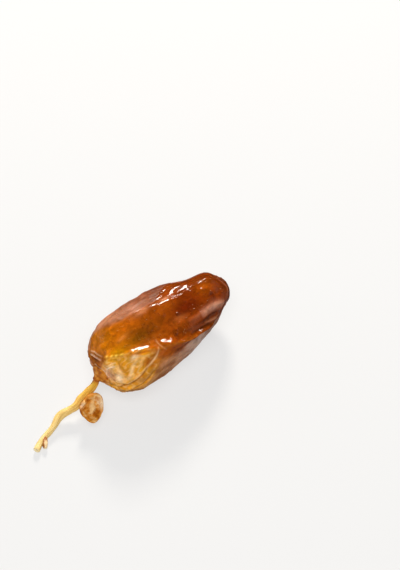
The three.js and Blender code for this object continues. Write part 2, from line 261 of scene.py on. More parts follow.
# Finer folds, in the same form, that the imported solid leaves out and only this mesh carries
FINE_FOLDS = [
    ("edge of the roll", 0.14, 0.32, [[13.6, 151], [15.2, 147], [16.9, 142], [17.9, 137], [18.8, 131]]),
    ("line beside the star", -0.13, 0.3, [[19.3, 118], [19, 126], [19.2, 134], [20, 142]]),
    ("lip of that line", 0.08, 0.24, [[19.5, 120], [19.3, 127], [19.5, 134], [20.2, 141]]),
    ("shoulder wrinkle", 0.32, 0.26, [[5.3, 10], [4.75, 30], [4.35, 50], [4.3, 68], [4.5, 86]]),
    ("second shoulder wrinkle", 0.24, 0.22, [[5.7, 26], [5.4, 46], [5.4, 66], [5.5, 84]]),
    ("shoulder furrow", -0.35, 0.5, [[4.3, 8], [3.6, 34], [3.3, 58], [3.4, 82]]),
    ("upper crest by the tip", 0.32, (0.6, 0.6),
     [[35.4, 82], [37.6, 79.5], [39.6, 80], [41.4, 83], [43.4, 92], [45.2, 106]]),
    ("star, long arm", 0.45, (0.6, 0.9), [[19.6, 129], [21, 133], [22.6, 136], [24.2, 141]]),
    ("ledge under the star", 0.45, (0.8, 0.5), [[20.4, 138], [22, 141.5], [23.6, 144], [25.2, 146.5]]),
    ("star, cross arm", 0.22, (0.45, 0.5), [[22.6, 122], [22.6, 129], [23, 136], [24, 145]]),
    ("next crest's edge one", 0.85, (0.75, 0.5),
     [[24, 142], [25.6, 146], [27.4, 150], [29.2, 154], [31, 159]]),
    ("next crest's edge two", 1.05, (0.8, 0.5),
     [[29.6, 151], [31.2, 153.5], [33.4, 157], [36, 162], [38, 167]]),
    ("first stripe", 0.14, 0.28, [[5.2, 88], [7.1, 99], [8.6, 106], [10.8, 114]]),
    ("second stripe", 0.1, 0.24, [[5.8, 99], [8, 108], [9.8, 117]]),
    ("pucker with painted glint one", 0.26, 0.24, [[4.2, 110], [5.2, 113], [6.4, 114], [7.6, 117]]),
    ("pucker with painted glint two", 0.26, 0.24, [[3.1, 121], [4.4, 119], [5.6, 120], [6.8, 123]]),
    ("pucker by the cap one", 0.22, 0.3, [[3.5, 122], [2.7, 134], [2.6, 150], [2.9, 166]]),
    ("pucker by the cap two", 0.2, 0.35, [[3.4, 140], [4.6, 138], [6, 134]]),
    ("pucker by the cap three", 0.2, 0.35, [[3.4, 156], [4.8, 158], [6.6, 160]]),
    ("first light's furrow", -0.2, 0.32, [[11.4, 117], [13.2, 122.5], [15.2, 127], [17.2, 131]]),
    ("lip of the lobe", 0.14, 0.3,
     [[4.7, 203], [6, 184], [8.2, 168], [10.2, 161], [12.4, 153.5], [14.4, 147]]),
    ("line in the lobe", 0.18, 0.4, [[7.6, 161], [8.9, 153], [9.8, 144], [10.9, 135], [12.9, 130]]),
    ("rim of the tip", 0.14, 0.4,
     [[43.4, 70], [45.6, 80], [46.6, 100], [46.8, 125], [45.4, 142], [43.2, 146]]),
    ("pale fold's flank", 0.04, 0.5, [[33.4, 131], [35.8, 132.5], [38.2, 135.5], [40.6, 142], [42.8, 152]]),
    ("dark line", -0.16, 0.26, [[28.2, 145], [30, 147.5], [32.4, 150], [35.4, 156], [38.4, 169]]),
    ("dark furrow's lip", 0.22, 0.35, [[33.4, 147], [35.5, 152], [37.6, 159], [40.1, 174]]),
    ("side wrinkle one", 0.16, 0.4, [[18, 183], [22, 186], [27, 189], [32, 195]]),
    ("side wrinkle two", -0.16, 0.4, [[13, 190], [18, 192], [24, 195]]),
    ("far wrinkle one", 0.18, 0.45, [[10, 62], [14, 70], [18, 74]]),
    ("far wrinkle two", -0.16, 0.4, [[21, 58], [26, 64], [30, 62], [35, 52]]),
    ("far wrinkle three", 0.2, 0.5, [[14, 30], [20, 38], [27, 40], [33, 35]]),
]

# Narrow strips that are tilted, and so catch the light: name, rise per mm towards the near side, width, path
TILTED_STRIPS = [
    ("glint at the crest's end", 0.3, 0.4, [[29.2, 84], [30.4, 85.5], [31.4, 86.5], [32.4, 88]]),
    ("glint by the tip", -0.32, 0.4, [[36.4, 80], [38.4, 76], [39.8, 78], [41.4, 83]]),
    ("glint of the next crest", 1.15, 0.5,
     [[24, 142], [25.4, 144.2], [26.6, 146.6], [28, 149.8], [30, 154.5]]),
    ("second glint of it", 1.25, 0.52,
     [[28.8, 148], [30.4, 150.3], [31.9, 152.2], [33.4, 154.6], [35, 158.6], [36.4, 162]]),
    ("first light", 0.13, 0.45,
     [[11.4, 113], [12.6, 115.5], [13.8, 117.6], [15.2, 120], [16.4, 122.6], [17.8, 128]]),
    ("star, upper arm", 0.14, 0.8, [[19.2, 123], [20.4, 126.5], [21.6, 129.5], [23.2, 133]]),
    ("star, lower arm", 0.6, 0.5, [[21.4, 134], [22.2, 137], [23, 140]]),
]

# Small bumps and dents of the skin: mm along, degrees, radius, height. The last three are a lump and a
# hollow at the star, and the round scar near the tip.
BUMPS = [
    (28.7, 106, 0.34, 0.36), (32, 116, 0.28, 0.26), (31.6, 120, 0.26, 0.22), (38.5, 96, 0.45, 0.2),
    (29.2, 87, 0.3, 0.26), (33.4, 84, 0.5, 0.3), (24.8, 97, 0.6, 0.3), (21.3, 109, 0.6, 0.18),
    (25, 131, 0.28, 0.26), (24.2, 138, 0.3, 0.28), (25.6, 127, 0.26, 0.2), (26.5, 120, 0.4, 0.08),
    (12.4, 124, 0.7, 0.16), (10.4, 142, 0.8, 0.14), (8.2, 132, 0.6, 0.14), (6.1, 92, 0.22, 0.16),
    (6.8, 96, 0.3, 0.16), (7.8, 103, 0.28, 0.16), (8.7, 107.5, 0.3, 0.16), (10, 111.5, 0.3, 0.16),
    (22.3, 139, 1.2, 0.4), (21.9, 123, 1.3, -0.35), (39.9, 114, 0.45, -0.4),
]

# Where the tight glossy face ends, as [mm along, degrees]: loose skin, pale partly in its own colour and
# partly from a painted sheen, lies past it on the far side (fewer degrees) and on the near side (more
# degrees).
FAR_EDGE = [[0, -20], [5, -8], [7.5, 16], [9.7, 42], [11.3, 55], [13, 65], [16, 72], [19, 75], [22.4, 77],
            [25, 78], [28, 67], [31, 55], [34.6, 51], [38.6, 57], [43.9, 58], [46, 70], [48, 100]]
NEAR_EDGE = [[0, 260], [4, 240], [7, 204], [10.7, 186], [13.6, 174], [15.6, 161], [17.9, 153], [19.4, 156],
             [22, 155], [24.6, 159], [28.1, 160], [31.6, 164], [35.1, 171], [39.5, 178], [44, 190], [48, 220]]
# Where the tight, clear lobe at the base begins, on the near side of this edge
LOBE_EDGE = [[0, 90], [5, 95], [9, 107], [12, 115], [15, 122], [17.5, 129], [19.5, 140], [21, 165]]


def smooth(value, low, high):
    share = np.clip((value - low) / (high - low), 0, 1)
    return share * share * (3 - 2 * share)


def edge_at(edge, arc):
    return np.interp(arc, *np.array(edge, float).T)


def patch(points, arc, degrees, along, across):
    """A soft oval mark on the skin, longer along the fruit than across it."""
    away = points - plain_skin(arc, degrees)
    lengthwise = away[:, 0] / along
    crosswise = np.hypot(away[:, 1], away[:, 2]) / across
    return np.exp(-(lengthwise ** 2 + crosswise ** 2))


def fold_line(points, name, width):
    """How near each point is to the middle of a named fold, from 0 to 1."""
    path = next(row[3] for row in FOLDS + FINE_FOLDS if row[0] == name)
    return ridge(points, path, width, 0.5)


def fruit_marks(points, arc, degrees):
    """Where the skin is loose and dull, on the far and the near side, and where it is a tight, clear lobe."""
    far = smooth(edge_at(FAR_EDGE, arc) - degrees, -3, 9)
    near = smooth(degrees - edge_at(NEAR_EDGE, arc), -2, 7)
    lobe = smooth(degrees - edge_at(LOBE_EDGE, arc), -3, 6) * (1 - near) * smooth(arc, 19, 15)
    return {"far": far, "near": near, "lobe": lobe}


def srgb(red, green, blue):
    """A colour given as it looks on a screen, 0 to 255, as the linear values that a shader takes."""
    shares = (red / 255, green / 255, blue / 255)
    return (*(v / 12.92 if v <= 0.04045 else ((v + 0.055) / 1.055) ** 2.4 for v in shares), 1.0)


# The tight skin's ground colour from base to tip, as mm along it and the colour there, and then the same of
# the loose skin on the far side and on the near side, whose pale mauve is partly its own and partly a painted
# sheen towards the outline
GROUND = [
    (0, (164, 90, 10)), (5, (168, 92, 6)), (9, (190, 108, 6)), (13, (180, 96, 5)), (18, (152, 74, 5)),
    (24, (134, 60, 5)), (34, (120, 48, 3)), (43, (112, 44, 3)), (47, (106, 44, 6)),
]
FAR_SKIN = [
    (0, (190, 112, 40)), (8, (168, 114, 78)), (14, (162, 104, 72)), (20, (144, 88, 60)), (25, (118, 58, 26)),
    (29, (100, 42, 10)), (36, (104, 44, 9)), (44, (100, 44, 12)),
]
NEAR_SKIN = [
    (0, (200, 140, 66)), (12, (180, 126, 58)), (17, (156, 98, 48)), (21, (162, 110, 74)),
    (26, (166, 124, 100)), (31, (166, 142, 130)), (36, (150, 118, 102)), (41, (110, 56, 24)),
]

# Stains of the skin, with some painted highlights and sheen among them: what they are, [mm along, degrees],
# half length and half width in mm, colour, strength
STAINS = [
    ("green-gold by the base", (9, 106), (4.2, 1.5), (168, 116, 4), 0.9),
    ("orange next to the loose skin", (15.5, 79), (3.6, 1.2), (180, 88, 8), 0.7),
    ("dull smear", (12.6, 89), (2.6, 0.5), (206, 130, 60), 0.55),
    ("brown above the first light", (17.2, 115), (2.4, 1), (120, 54, 2), 0.8),
    ("dusky patch", (28.6, 115), (1.7, 0.8), (172, 100, 54), 0.7),
    ("dark smear towards the base", (10.4, 84), (2, 0.8), (166, 84, 8), 0.5),
    ("olive valley", (15.4, 103), (4.8, 1.6), (122, 70, 3), 0.85),
    ("olive further on", (21.5, 106), (3, 1.5), (114, 54, 4), 0.55),
    ("deep red", (31.6, 107), (4, 1.8), (104, 28, 3), 0.85),
    ("red by the crest", (33, 90), (4.5, 1), (116, 40, 4), 0.5),
    ("orange by the tip", (39.2, 94), (2.8, 1.7), (146, 68, 6), 0.8),
    ("dark ring round the scar", (39.8, 116), (0.9, 0.8), (88, 28, 2), 0.85),
    ("orange above the middle", (26.5, 90), (3, 0.9), (156, 74, 8), 0.6),
    ("orange below the middle", (27, 118), (3.2, 1.2), (150, 70, 10), 0.55),
    ("orange beside the star", (19.2, 139), (3.4, 1.6), (158, 76, 8), 0.8),
    ("orange at the lobe's end", (14.8, 142), (2, 1.1), (162, 80, 10), 0.85),
    ("orange below it", (15.3, 151), (1.6, 1), (154, 80, 12), 0.75),
    ("brown under the star", (23.4, 141), (2.6, 1.2), (126, 50, 2), 0.85),
    ("next crest", (34.5, 152), (3.6, 0.8), (146, 66, 10), 0.6),
    ("clear gold in the lobe", (8, 146), (1.3, 1.3), (208, 132, 4), 0.9),
    ("clear gold above it", (8.2, 126), (1.3, 1), (204, 132, 10), 0.8),
    ("pale part of the lobe", (6.3, 152), (0.9, 1.3), (244, 216, 176), 0.95),
    ("pale part above it", (7.3, 136), (0.45, 1.2), (232, 196, 140), 0.7),
    ("pale part under the first light", (12.2, 124.5), (1.1, 0.6), (238, 206, 164), 0.95),
    ("pale part of the base", (5.6, 128), (1.2, 1.2), (222, 178, 112), 0.5),
    ("mauve by the cap", (3.6, 140), (0.8, 2.4), (196, 150, 128), 0.75),
    # Painted highlights: small yellow glints on the bumps of the stripe
    ("painted glint on bump one", (6.8, 96), (0.4, 0.3), (238, 204, 90), 0.75),
    ("painted glint on bump two", (7.8, 103), (0.35, 0.3), (238, 204, 90), 0.7),
    ("painted glint on bump three", (8.7, 107.5), (0.4, 0.3), (240, 210, 100), 0.8),
    ("painted glint on bump four", (10, 111.5), (0.4, 0.3), (236, 196, 80), 0.7),
    # Painted sheen: a pale haze along the upper crest's edge, beside its highlights
    ("painted sheen by the upper crest", (28.2, 79), (1.4, 0.6), (196, 136, 100), 0.7),
    ("painted sheen towards the base", (21.4, 77), (2.4, 0.6), (194, 128, 88), 0.6),
    ("pale gold behind the lobe", (18.6, 157), (1.6, 1), (196, 132, 76), 0.6),
    ("gold under the lobe", (11.5, 168), (4.4, 1.8), (180, 112, 30), 0.7),
]

# Coloured folds, some of them painted highlights, sheen or shade: a fold's name, the width in mm of the
# coloured line, its colour, and its strength
FOLD_COLOURS = [
    ("pale fold by the tip", 0.5, (170, 104, 70), 0.4),
    ("pale fold's flank", 0.9, (198, 142, 116), 0.85),
    ("dark furrow", 0.45, (76, 26, 3), 0.85),
    # A painted highlight: the pale glint along the lip under the dark furrow
    ("dark furrow's lip", 0.3, (176, 118, 84), 0.7),
    ("furrow along the side", 0.45, (92, 40, 12), 0.9),
    # Painted shade: the dark line in the undercut beside the next crest
    ("dark line", 0.24, (84, 34, 6), 0.8),
    ("crease round the lobe", 0.26, (150, 84, 18), 0.85),
    ("lip of the lobe", 0.3, (230, 182, 124), 0.8),
    ("line in the lobe", 0.42, (236, 194, 134), 0.95),
    ("roll under the lobe", 0.45, (206, 150, 88), 0.5),
    ("second crease", 0.28, (150, 92, 30), 0.7),
    ("shoulder furrow", 0.5, (120, 56, 8), 0.9),
    # Painted highlights: the pale lines along the shoulder wrinkles and the puckers by the cap
    ("shoulder wrinkle", 0.24, (240, 202, 170), 0.9),
    ("second shoulder wrinkle", 0.2, (232, 188, 148), 0.8),
    ("pucker with painted glint one", 0.22, (238, 202, 144), 0.85),
    ("pucker with painted glint two", 0.22, (242, 214, 180), 0.9),
    ("pucker by the cap one", 0.24, (226, 190, 164), 0.8),
    ("first light's furrow", 0.28, (138, 72, 8), 0.85),
    # A painted highlight: the bright thin line along the roll's edge
    ("edge of the roll", 0.24, (232, 186, 132), 0.9),
    ("lip of that line", 0.18, (226, 164, 110), 0.5),
    ("lower crest", 0.4, (190, 108, 18), 0.45),
    # Painted highlights: small golden glints along the two stripes
    ("first stripe", 0.2, (226, 176, 60), 0.25),
    ("second stripe", 0.18, (226, 172, 60), 0.5),
    # Painted sheen: the pale mauve rim round the tip
    ("rim of the tip", 0.35, (160, 104, 80), 0.45),
]


def mixed(tint, colour, share):
    """The points' tints, each taken towards a colour by its share."""
    if isinstance(colour, tuple):
        colour = np.array(srgb(*colour)[:3])
    return tint + (colour - tint) * share[:, None]


def linear_at(stops, arc):
    """The colour of a row of stops at each place along the skin."""
    places, screen = zip(*stops)
    values = np.array([srgb(*colour)[:3] for colour in screen])
    return np.stack([np.interp(arc, places, values[:, k]) for k in range(3)], axis=-1)


def skin_tint(points, arc, marks):
    drift = 1.4 * noise_at(points, 3.0, 31.0)
    lobe = marks["lobe"]
    layers = [
        ((222, 154, 34), 0.88 * lobe),
        ((200, 124, 8), 0.6 * lobe * smooth(noise_at(points, 1.9, 47.0), 0.05, 0.35)),
        ((252, 210, 136), 0.45 * lobe * smooth(ridged(points, (2.0, 1.2, 1.2), 43.0), 0.55, 0.95)),
        *((colour, strength * patch(points, *at, *half)) for _, at, half, colour, strength in STAINS),
    ]
    tint = linear_at(GROUND, arc + drift)
    for colour, share in layers:
        tint = mixed(tint, colour, share.clip(0, 1))
    # The loose skin's colours: its own, with a painted sheen towards the outline
    tint = mixed(tint, linear_at(FAR_SKIN, arc + drift), marks["far"])
    tint = mixed(tint, linear_at(NEAR_SKIN, arc + drift), marks["near"])
    for name, width, colour, strength in FOLD_COLOURS:
        tint = mixed(tint, colour, strength * fold_line(points, name, width))
    return tint


def ridged(points, size, seed):
    """Noise from 0 to 1 with narrow crests."""
    return (1 - np.abs(noise_at(points, size, seed))) ** 2


def detail_height(points, marks, arc):
    """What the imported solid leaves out: sharp edges of folds, wrinkles, bubbles and puckers."""
    total = np.zeros(len(points))
    for _, height, width, path in FINE_FOLDS:
        total += height * ridge(points, path, width, 0.7, FINE_PATH_STEPS)
    total += sum(rise * tilted(points, path, width) for _, rise, width, path in TILTED_STRIPS)
    for along, degrees, radius, height in BUMPS:
        away = np.linalg.norm(points - plain_skin(along, degrees), axis=1)
        total += height * np.exp(-(away / radius) ** 2)
    loose = np.maximum(marks["far"], marks["near"])
    warp = noise_at(points, 4.0, 7.0)[:, None] * np.array([0.6, 0.5, 0.5])
    base = smooth(arc, 12, 5)
    wrinkles = ridged(points + warp, (5.5, 1.5, 1.5), 3.0) - 0.55
    wrinkles *= 0.03 + 0.18 * loose + 0.06 * base
    puckers = ridged(points + warp, (2.6, 0.8, 0.8), 11.0) - 0.55
    puckers *= 0.015 + 0.08 * loose + 0.05 * base + 0.08 * marks["near"]
    total += wrinkles + puckers
    total += 0.07 * noise_at(points, 2.4, 19.0) * (0.35 + 0.65 * marks["lobe"])
    return total + 0.1 * loose


def skin_points(arc, degrees):
    points = plain_skin(arc, degrees)
    marks = fruit_marks(points, arc, degrees)
    height = fold_height(points) + swelling_height(points) + pleat_height(arc, degrees) + unevenness(points)
    height += detail_height(points, marks, arc)
    marks["tint"] = skin_tint(points, arc, marks)
    del marks["lobe"]  # the material needs only the tint, which has taken it in
    moved = points + skin_normal(arc, degrees) * height[:, None]
    moved[:, 2] = moved[:, 2].clip(0)
    return moved, marks


def ring_faces(rows, columns):
    """Faces of a closed body: point 0, then the rings in turn, then the last point."""

    def at(row, column):
        return 1 + row * columns + column % columns

    faces = [(0, at(0, k + 1), at(0, k)) for k in range(columns)]
    for row in range(rows - 1):
        faces += [(at(row, k), at(row, k + 1), at(row + 1, k + 1), at(row + 1, k)) for k in range(columns)]
    last = 1 + rows * columns
    return faces + [(last, at(rows - 1, k), at(rows - 1, k + 1)) for k in range(columns)]


def make_piece(name, points, faces, marks, material, slot, *nodes):
    mesh = bpy.data.meshes.new(name)
    mesh.from_pydata(((points + SHIFT) * MM).tolist(), [], faces)
    mesh.update()
    for key, values in marks.items():
        values = np.asarray(values, np.float32)
        kind, field = ("FLOAT", "value") if values.ndim == 1 else ("FLOAT_VECTOR", "vector")
        mesh.attributes.new(key, kind, "POINT").data.foreach_set(field, values.ravel())
    mesh.polygons.foreach_set("use_smooth", [True] * len(mesh.polygons))
    mesh.materials.append(material)
    piece = bpy.data.objects.new(name, mesh)
    bpy.context.collection.objects.link(piece)
    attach(piece, "root")
    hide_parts(*nodes)


def make_fruit():
    share = np.arange(1, FRUIT_ROWS) / FRUIT_ROWS
    arcs = SKIN_LENGTH * (0.7 * share + 0.3 * share ** 2)  # closer together at the wrinkled base
    turns = 360 * np.arange(FRUIT_COLUMNS) / FRUIT_COLUMNS
    turns = np.where(turns > 270, turns - 360, turns)  # so that the zones' edges read from the underside up
    arc, degrees = (grid.ravel() for grid in np.meshgrid(arcs, turns, indexing="ij"))
    arc = np.concatenate([[0], arc, [SKIN_LENGTH]])
    degrees = np.concatenate([[90], degrees, [90]])
    points, marks = skin_points(arc, degrees)
    faces = ring_faces(FRUIT_ROWS - 1, FRUIT_COLUMNS)
    make_piece("fruit_skin", points, faces, marks, skin_material(), "fruit", "fruit")


# The strand, from its old cut end to the stub just past the date's cap, and the nub near its cut end:
# [x, y, z, radius]
STRAND_ROUTE = [
    [-37.2, -3.7, 0.9, 0.84], [-35.5, -2.8, 0.85, 0.8], [-33.5, -2.1, 0.95, 0.8], [-31.4, -1.7, 1.15, 0.8],
    [-29.6, -1.2, 1.4, 0.84], [-27.4, -0.3, 1.8, 1.02], [-25.8, -0.2, 2.2, 1.08], [-24.2, -0.6, 2.5, 1.04],
    [-22.3, -1, 3.1, 1.04], [-20.4, -0.6, 3.7, 1.14], [-18.7, -0.6, 4.7, 1.04], [-17.1, -0.8, 5.8, 0.98],
    [-15.8, -0.5, 6.1, 0.9], [-15.2, -0.2, 6.4, 0.84], [-14.5, 0.1, 6.9, 0.7],
]
NUB_ROUTE = [
    [-33.3, -1.8, 1.1, 0.55], [-33.8, -2.8, 1.1, 0.64], [-34.6, -3.8, 1, 0.68], [-35.1, -4.5, 0.9, 0.5],
]
END_SHRINK = [1.0, 0.97, 0.86, 0.6, 0.3]  # the cut end's rings, as shares of the radius
END_BULGE = [0.0, 0.1, 0.16, 0.12, 0.02]  # and how far out they lie, in mm: the middle is sunken


def carried_frames(centres):
    """Two directions across the line at each of its points, carried along it without twisting."""
    ahead = unit(np.gradient(centres, axis=0))
    across = [unit(np.cross(ahead[0], [0, 0, 1.0]))]
    for direction in ahead[1:]:
        side = across[-1] - direction * (across[-1] @ direction)
        across.append(unit(side))
    across = np.array(across)
    return ahead, across, np.cross(ahead, across)


def tube(route, steps, sides, fibre):
    """A closed rounded stick along a route, with fibres whose height is a share of its radius."""
    line = spline(route, steps)
    centres, radii = line[:, :3], line[:, 3]
    ahead, across, other = carried_frames(centres)
    length = np.concatenate([[0], np.cumsum(np.linalg.norm(np.diff(centres, axis=0), axis=1))])
    first = [(0, -bulge, share) for share, bulge in zip(END_SHRINK[::-1], END_BULGE[::-1])]
    last = [(steps, bulge, share) for share, bulge in zip(END_SHRINK, END_BULGE)]
    rings = first + [(i, 0, 1.0) for i in range(1, steps)] + last
    turn = np.radians(360 * np.arange(sides) / sides)
    cos, sin = np.cos(turn), np.sin(turn)
    points = []
    for i, offset, share in rings:
        grain = np.stack([np.full(sides, length[i] / 5), 3.2 * cos, 3.2 * sin], axis=-1)
        knots = np.stack([np.full(sides, length[i] / 1.7), 0.9 * cos, 0.9 * sin], axis=-1)
        lumps = 1 + fibre * noise_at(grain, 1.0, 5.0) + 0.09 * noise_at(knots, 1.0, 9.0)
        reach = (radii[i] * share * lumps)[:, None]
        centre = centres[i] + ahead[i] * offset
        points.append(centre + reach * (cos[:, None] * across[i] + sin[:, None] * other[i]))
    points = np.vstack([centres[0], *points, centres[-1]])
    points[:, 2] = points[:, 2].clip(0.0)
    numbers, _, shares = zip(*rings)
    marks = {
        "along": np.repeat(length[list(numbers)], sides),
        "cos_turn": np.tile(cos, len(rings)),
        "sin_turn": np.tile(sin, len(rings)),
        "cut": np.repeat(np.array(shares) < 0.9, sides),
    }
    marks = {key: np.concatenate([values[:1], values, values[[-sides]]]) for key, values in marks.items()}
    return points, ring_faces(len(rings), sides), marks


def make_strand():
    points, faces, marks = tube(STRAND_ROUTE, steps=330, sides=56, fibre=0.055)
    marks["pale"] = smooth(marks["along"], 25, 5)
    marks["ripe"] = smooth(marks["along"], marks["along"].max() - 2.2, marks["along"].max() - 0.6)
    marks["nub"] = np.zeros(len(points))
    nub_points, nub_faces, nub_marks = tube(NUB_ROUTE, steps=60, sides=40, fibre=0.08)
    # The nub is pale towards its cut end, and brown along one side as painted shade
    nub_marks["pale"] = smooth(nub_marks["along"], 1.0, 2.2) * smooth(nub_marks["cos_turn"], 0.7, -0.1)
    nub_marks["ripe"] = np.zeros(len(nub_points))
    nub_marks["nub"] = np.ones(len(nub_points))
    faces += [tuple(k + len(points) for k in face) for face in nub_faces]
    joined = {key: np.concatenate([marks[key], nub_marks[key]]) for key in marks}
    points = np.vstack([points, nub_points])
    make_piece("strand_fibres", points, faces, joined, strand_material(), "strand", "strand")


# The date's own cap, and its section from the stalk up the outside, over the rim and down the inside
DATE_CAP = {"foot": (-14.8, -0.1, 7.4), "mouth": (0.97, 0.02, 0.2), "size": 0.94, "depth": 0.67}
DATE_CAP_PETALS = (110, 205, 310)  # degrees round it
PETAL_HALF_WIDTH = 34
PALE_BAND = (0.64, 0.05)  # its middle and half width, as shares of the section's length
CAP_SECTION = [  # radius, height, more radius between the petals, more radius and height at a petal
    [0.75, -1.2, 0, 0, 0], [0.95, -0.4, 0, 0, 0], [1.35, 0.3, 0, 0, 0], [2.1, 1, 0.1, 0.05, 0],
    [2.7, 1.6, 0.2, 0.1, 0], [3, 2.2, 0.3, 0.15, 0.1], [3, 2.45, 0.1, 0.2, 0.2], [3.05, 2.7, 0, 0.3, 0.4],
    [2.95, 2.9, 0, 0.4, 0.6], [2.4, 2.9, 0, 0.4, 0.6], [1.9, 2.3, 0, 0.2, 0.3], [1.4, 1.8, 0, 0, 0.1],
    [0.7, 1.75, 0, 0, 0],
]
CAP_FLOOR = 2.1
CAP_RINGS = 110
CAP_COLUMNS = 180
CAP_DEGREES = 360 * np.arange(CAP_COLUMNS) / CAP_COLUMNS

# The bare cap: its stalk's foot, the middle of its mouth and the way that faces, and the mouth's outline
# as [degrees round it from the right, mm from the middle]
BARE_CAP = {"foot": (-19.95, -1.9, 4.2), "middle": (-20.4, -4.9, 4.85), "facing": (-0.3, -0.6, 0.74)}
BARE_OUTLINE = [
    [0, 2.95], [22, 3.3], [41, 3.95], [62, 4.05], [94, 3.35], [120, 2.8], [146, 2.7], [170, 3], [189, 3.05],
    [225, 2.95], [250, 3.5], [268, 3.75], [286, 3.45], [317, 2.85], [345, 2.95], [360, 2.95],
]
BARE_SECTION = [  # share of the way from foot to mouth, share of the outline, mm in front of the mouth
    [-0.15, 0.24, 0], [0, 0.3, 0], [0.2, 0.42, 0], [0.42, 0.6, 0], [0.62, 0.8, 0], [0.8, 0.93, 0],
    [0.92, 1, 0], [1, 1, 0.2], [1, 0.94, 0.42], [1, 0.85, 0.4], [1, 0.76, 0.1],
    [1, 0.66, -0.35], [1, 0.52, -0.6], [1, 0.38, -0.55], [1, 0.24, -0.3], [1, 0.1, -0.2],
]
# Lumps and hollows inside the bare cap: degrees round, mm from the middle, radius, height
BARE_LUMPS = [
    (333, 0.4, 0.8, 0.7), (242, 1.35, 0.42, 0.45), (321, 1.75, 0.75, -0.4), (170, 1.4, 0.55, -0.25),
    (112, 2, 0.7, -0.2), (69, 2.4, 0.6, 0.45), (90, 1.2, 0.4, 0.3), (23, 2.55, 1, 0.4),
    (50, 2, 0.4, -0.2), (137, 2.3, 0.5, 0.4), (215, 2.4, 0.8, 0.2), (270, 3.2, 0.8, 0.3),
    (293, 2.6, 0.4, -0.2), (337, 2.6, 0.5, 0.3),
]
BARE_PETALS_FROM = 2.9  # where the outline is further out than this, in mm, a petal rises
# Coloured parts of the bare cap's rim, a darker part on its left side that is painted shade and pale parts:
# degrees round it, half width in degrees, strength
RIM_SHADE = (205, 45, 1.0)
PALE_RIMS = [(16, 30, 1.0), (150, 16, 0.8)]


def turned(points, mouth):
    """Points whose cap opens along +Z, turned so that it opens along mouth."""
    turn = Vector((0, 0, 1)).rotation_difference(Vector(mouth)).to_matrix()
    return points @ np.array(turn).T


def make_cap(name, points, marks, node):
    faces = ring_faces(CAP_RINGS, CAP_COLUMNS)
    make_piece(name, points, faces, marks, cap_material(), "cap", node)


def make_date_cap(foot, mouth, size, depth):
    section = spline(CAP_SECTION, CAP_RINGS - 1)
    turn = np.radians(CAP_DEGREES)
    apart = [np.abs((CAP_DEGREES - place + 180) % 360 - 180) for place in DATE_CAP_PETALS]
    petal = np.exp(-(np.min(apart, axis=0) / PETAL_HALF_WIDTH) ** 2)
    radius, height, between, out, up = (column[:, None] for column in section.T)
    reach = radius + between * (1 - petal) + out * petal
    rise = height + up * petal
    grid = np.stack([reach * np.cos(turn), reach * np.sin(turn), rise], axis=-1).reshape(-1, 3)
    points = np.vstack([[[0, 0, CAP_SECTION[0][1] - 0.1]], grid, [[0, 0, CAP_FLOOR]]])
    share = np.concatenate([[0], np.repeat(np.linspace(0, 1, CAP_RINGS), CAP_COLUMNS), [1]])
    outward = unit(points * [1, 1, 0.3])
    grain = noise_at(points, (0.55, 0.55, 1.6), 4.0) * 0.1 + noise_at(points, 1.3, 8.0) * 0.22
    points = points + outward * (grain * smooth(share, 0.02, 0.2))[:, None]
    placed = turned(points * [size, size, size * depth], mouth) + foot
    band, half_width = PALE_BAND
    # Its relief also sets its colour: painted shade in the hollows and painted light on the lumps
    marks = {"relief": grain * 2.2 - 0.25, "pale": 0.8 * np.exp(-((share - band) / half_width) ** 2)}
    make_cap("date_cap_woody", placed, marks, "date_cap")


def bare_rings(foot, middle, facing):
    """The bare cap's points before its lumps, and where each is in the mouth: mm to the right and up from
    its middle, and the share of the way from foot to mouth."""
    turn = np.radians(CAP_DEGREES)
    outline = np.interp(CAP_DEGREES, *np.array(BARE_OUTLINE, float).T)
    outline = (np.roll(outline, 3) + np.roll(outline, -3) + 2 * outline) / 4
    petal = (outline - BARE_PETALS_FROM).clip(0)
    axis = unit(middle - foot)
    points, local = [foot - 0.2 * axis], [(0, 0, -1)]
    for way, share, front in spline(BARE_SECTION, CAP_RINGS - 1):
        normal = unit(axis * (1 - way) + facing * way)
        up = unit(np.array([0, 0, 1.0]) - normal * normal[2])
        right = np.cross(up, normal)
        u, v = outline * share * np.cos(turn), outline * share * np.sin(turn)
        inner = smooth(np.array(way), 0.9, 1.0)
        lift = front + 0.55 * petal * inner * smooth(share, 0.4, 0.95)
        local += list(zip(u, v, np.full(CAP_COLUMNS, way)))
        centre = foot + (middle - foot) * way
        points += list(centre + u[:, None] * right + v[:, None] * up + lift[:, None] * normal)
    points.append(middle - 0.2 * facing)
    local.append((0, 0, 1))
    return np.array(points), np.array(local)


def bare_relief(points, local, inner, out):
    """The height of the bare cap's lumps, the spokes inside its mouth and its grain."""
    relief = np.zeros(len(points))
    for around, from_middle, radius, height in BARE_LUMPS:
        place = from_middle * np.array([math.cos(math.radians(around)), math.sin(math.radians(around))])
        relief += height * inner * np.exp(-(np.linalg.norm(local[:, :2] - place, axis=1) / radius) ** 2)
    spokes = noise_at(np.stack([*(2.6 * unit(local[:, :2])).T, 0.4 * out], axis=-1), 1.0, 12.0)
    relief += 0.22 * spokes * inner * smooth(out, 0.6, 1.3)
    return relief + (0.2 * noise_at(points, 0.6, 4.0) + 0.3 * noise_at(points, 1.4, 8.0))


def rim_part(degrees, middle, half_width, strength):
    return strength * np.exp(-((degrees - middle) / half_width) ** 2)


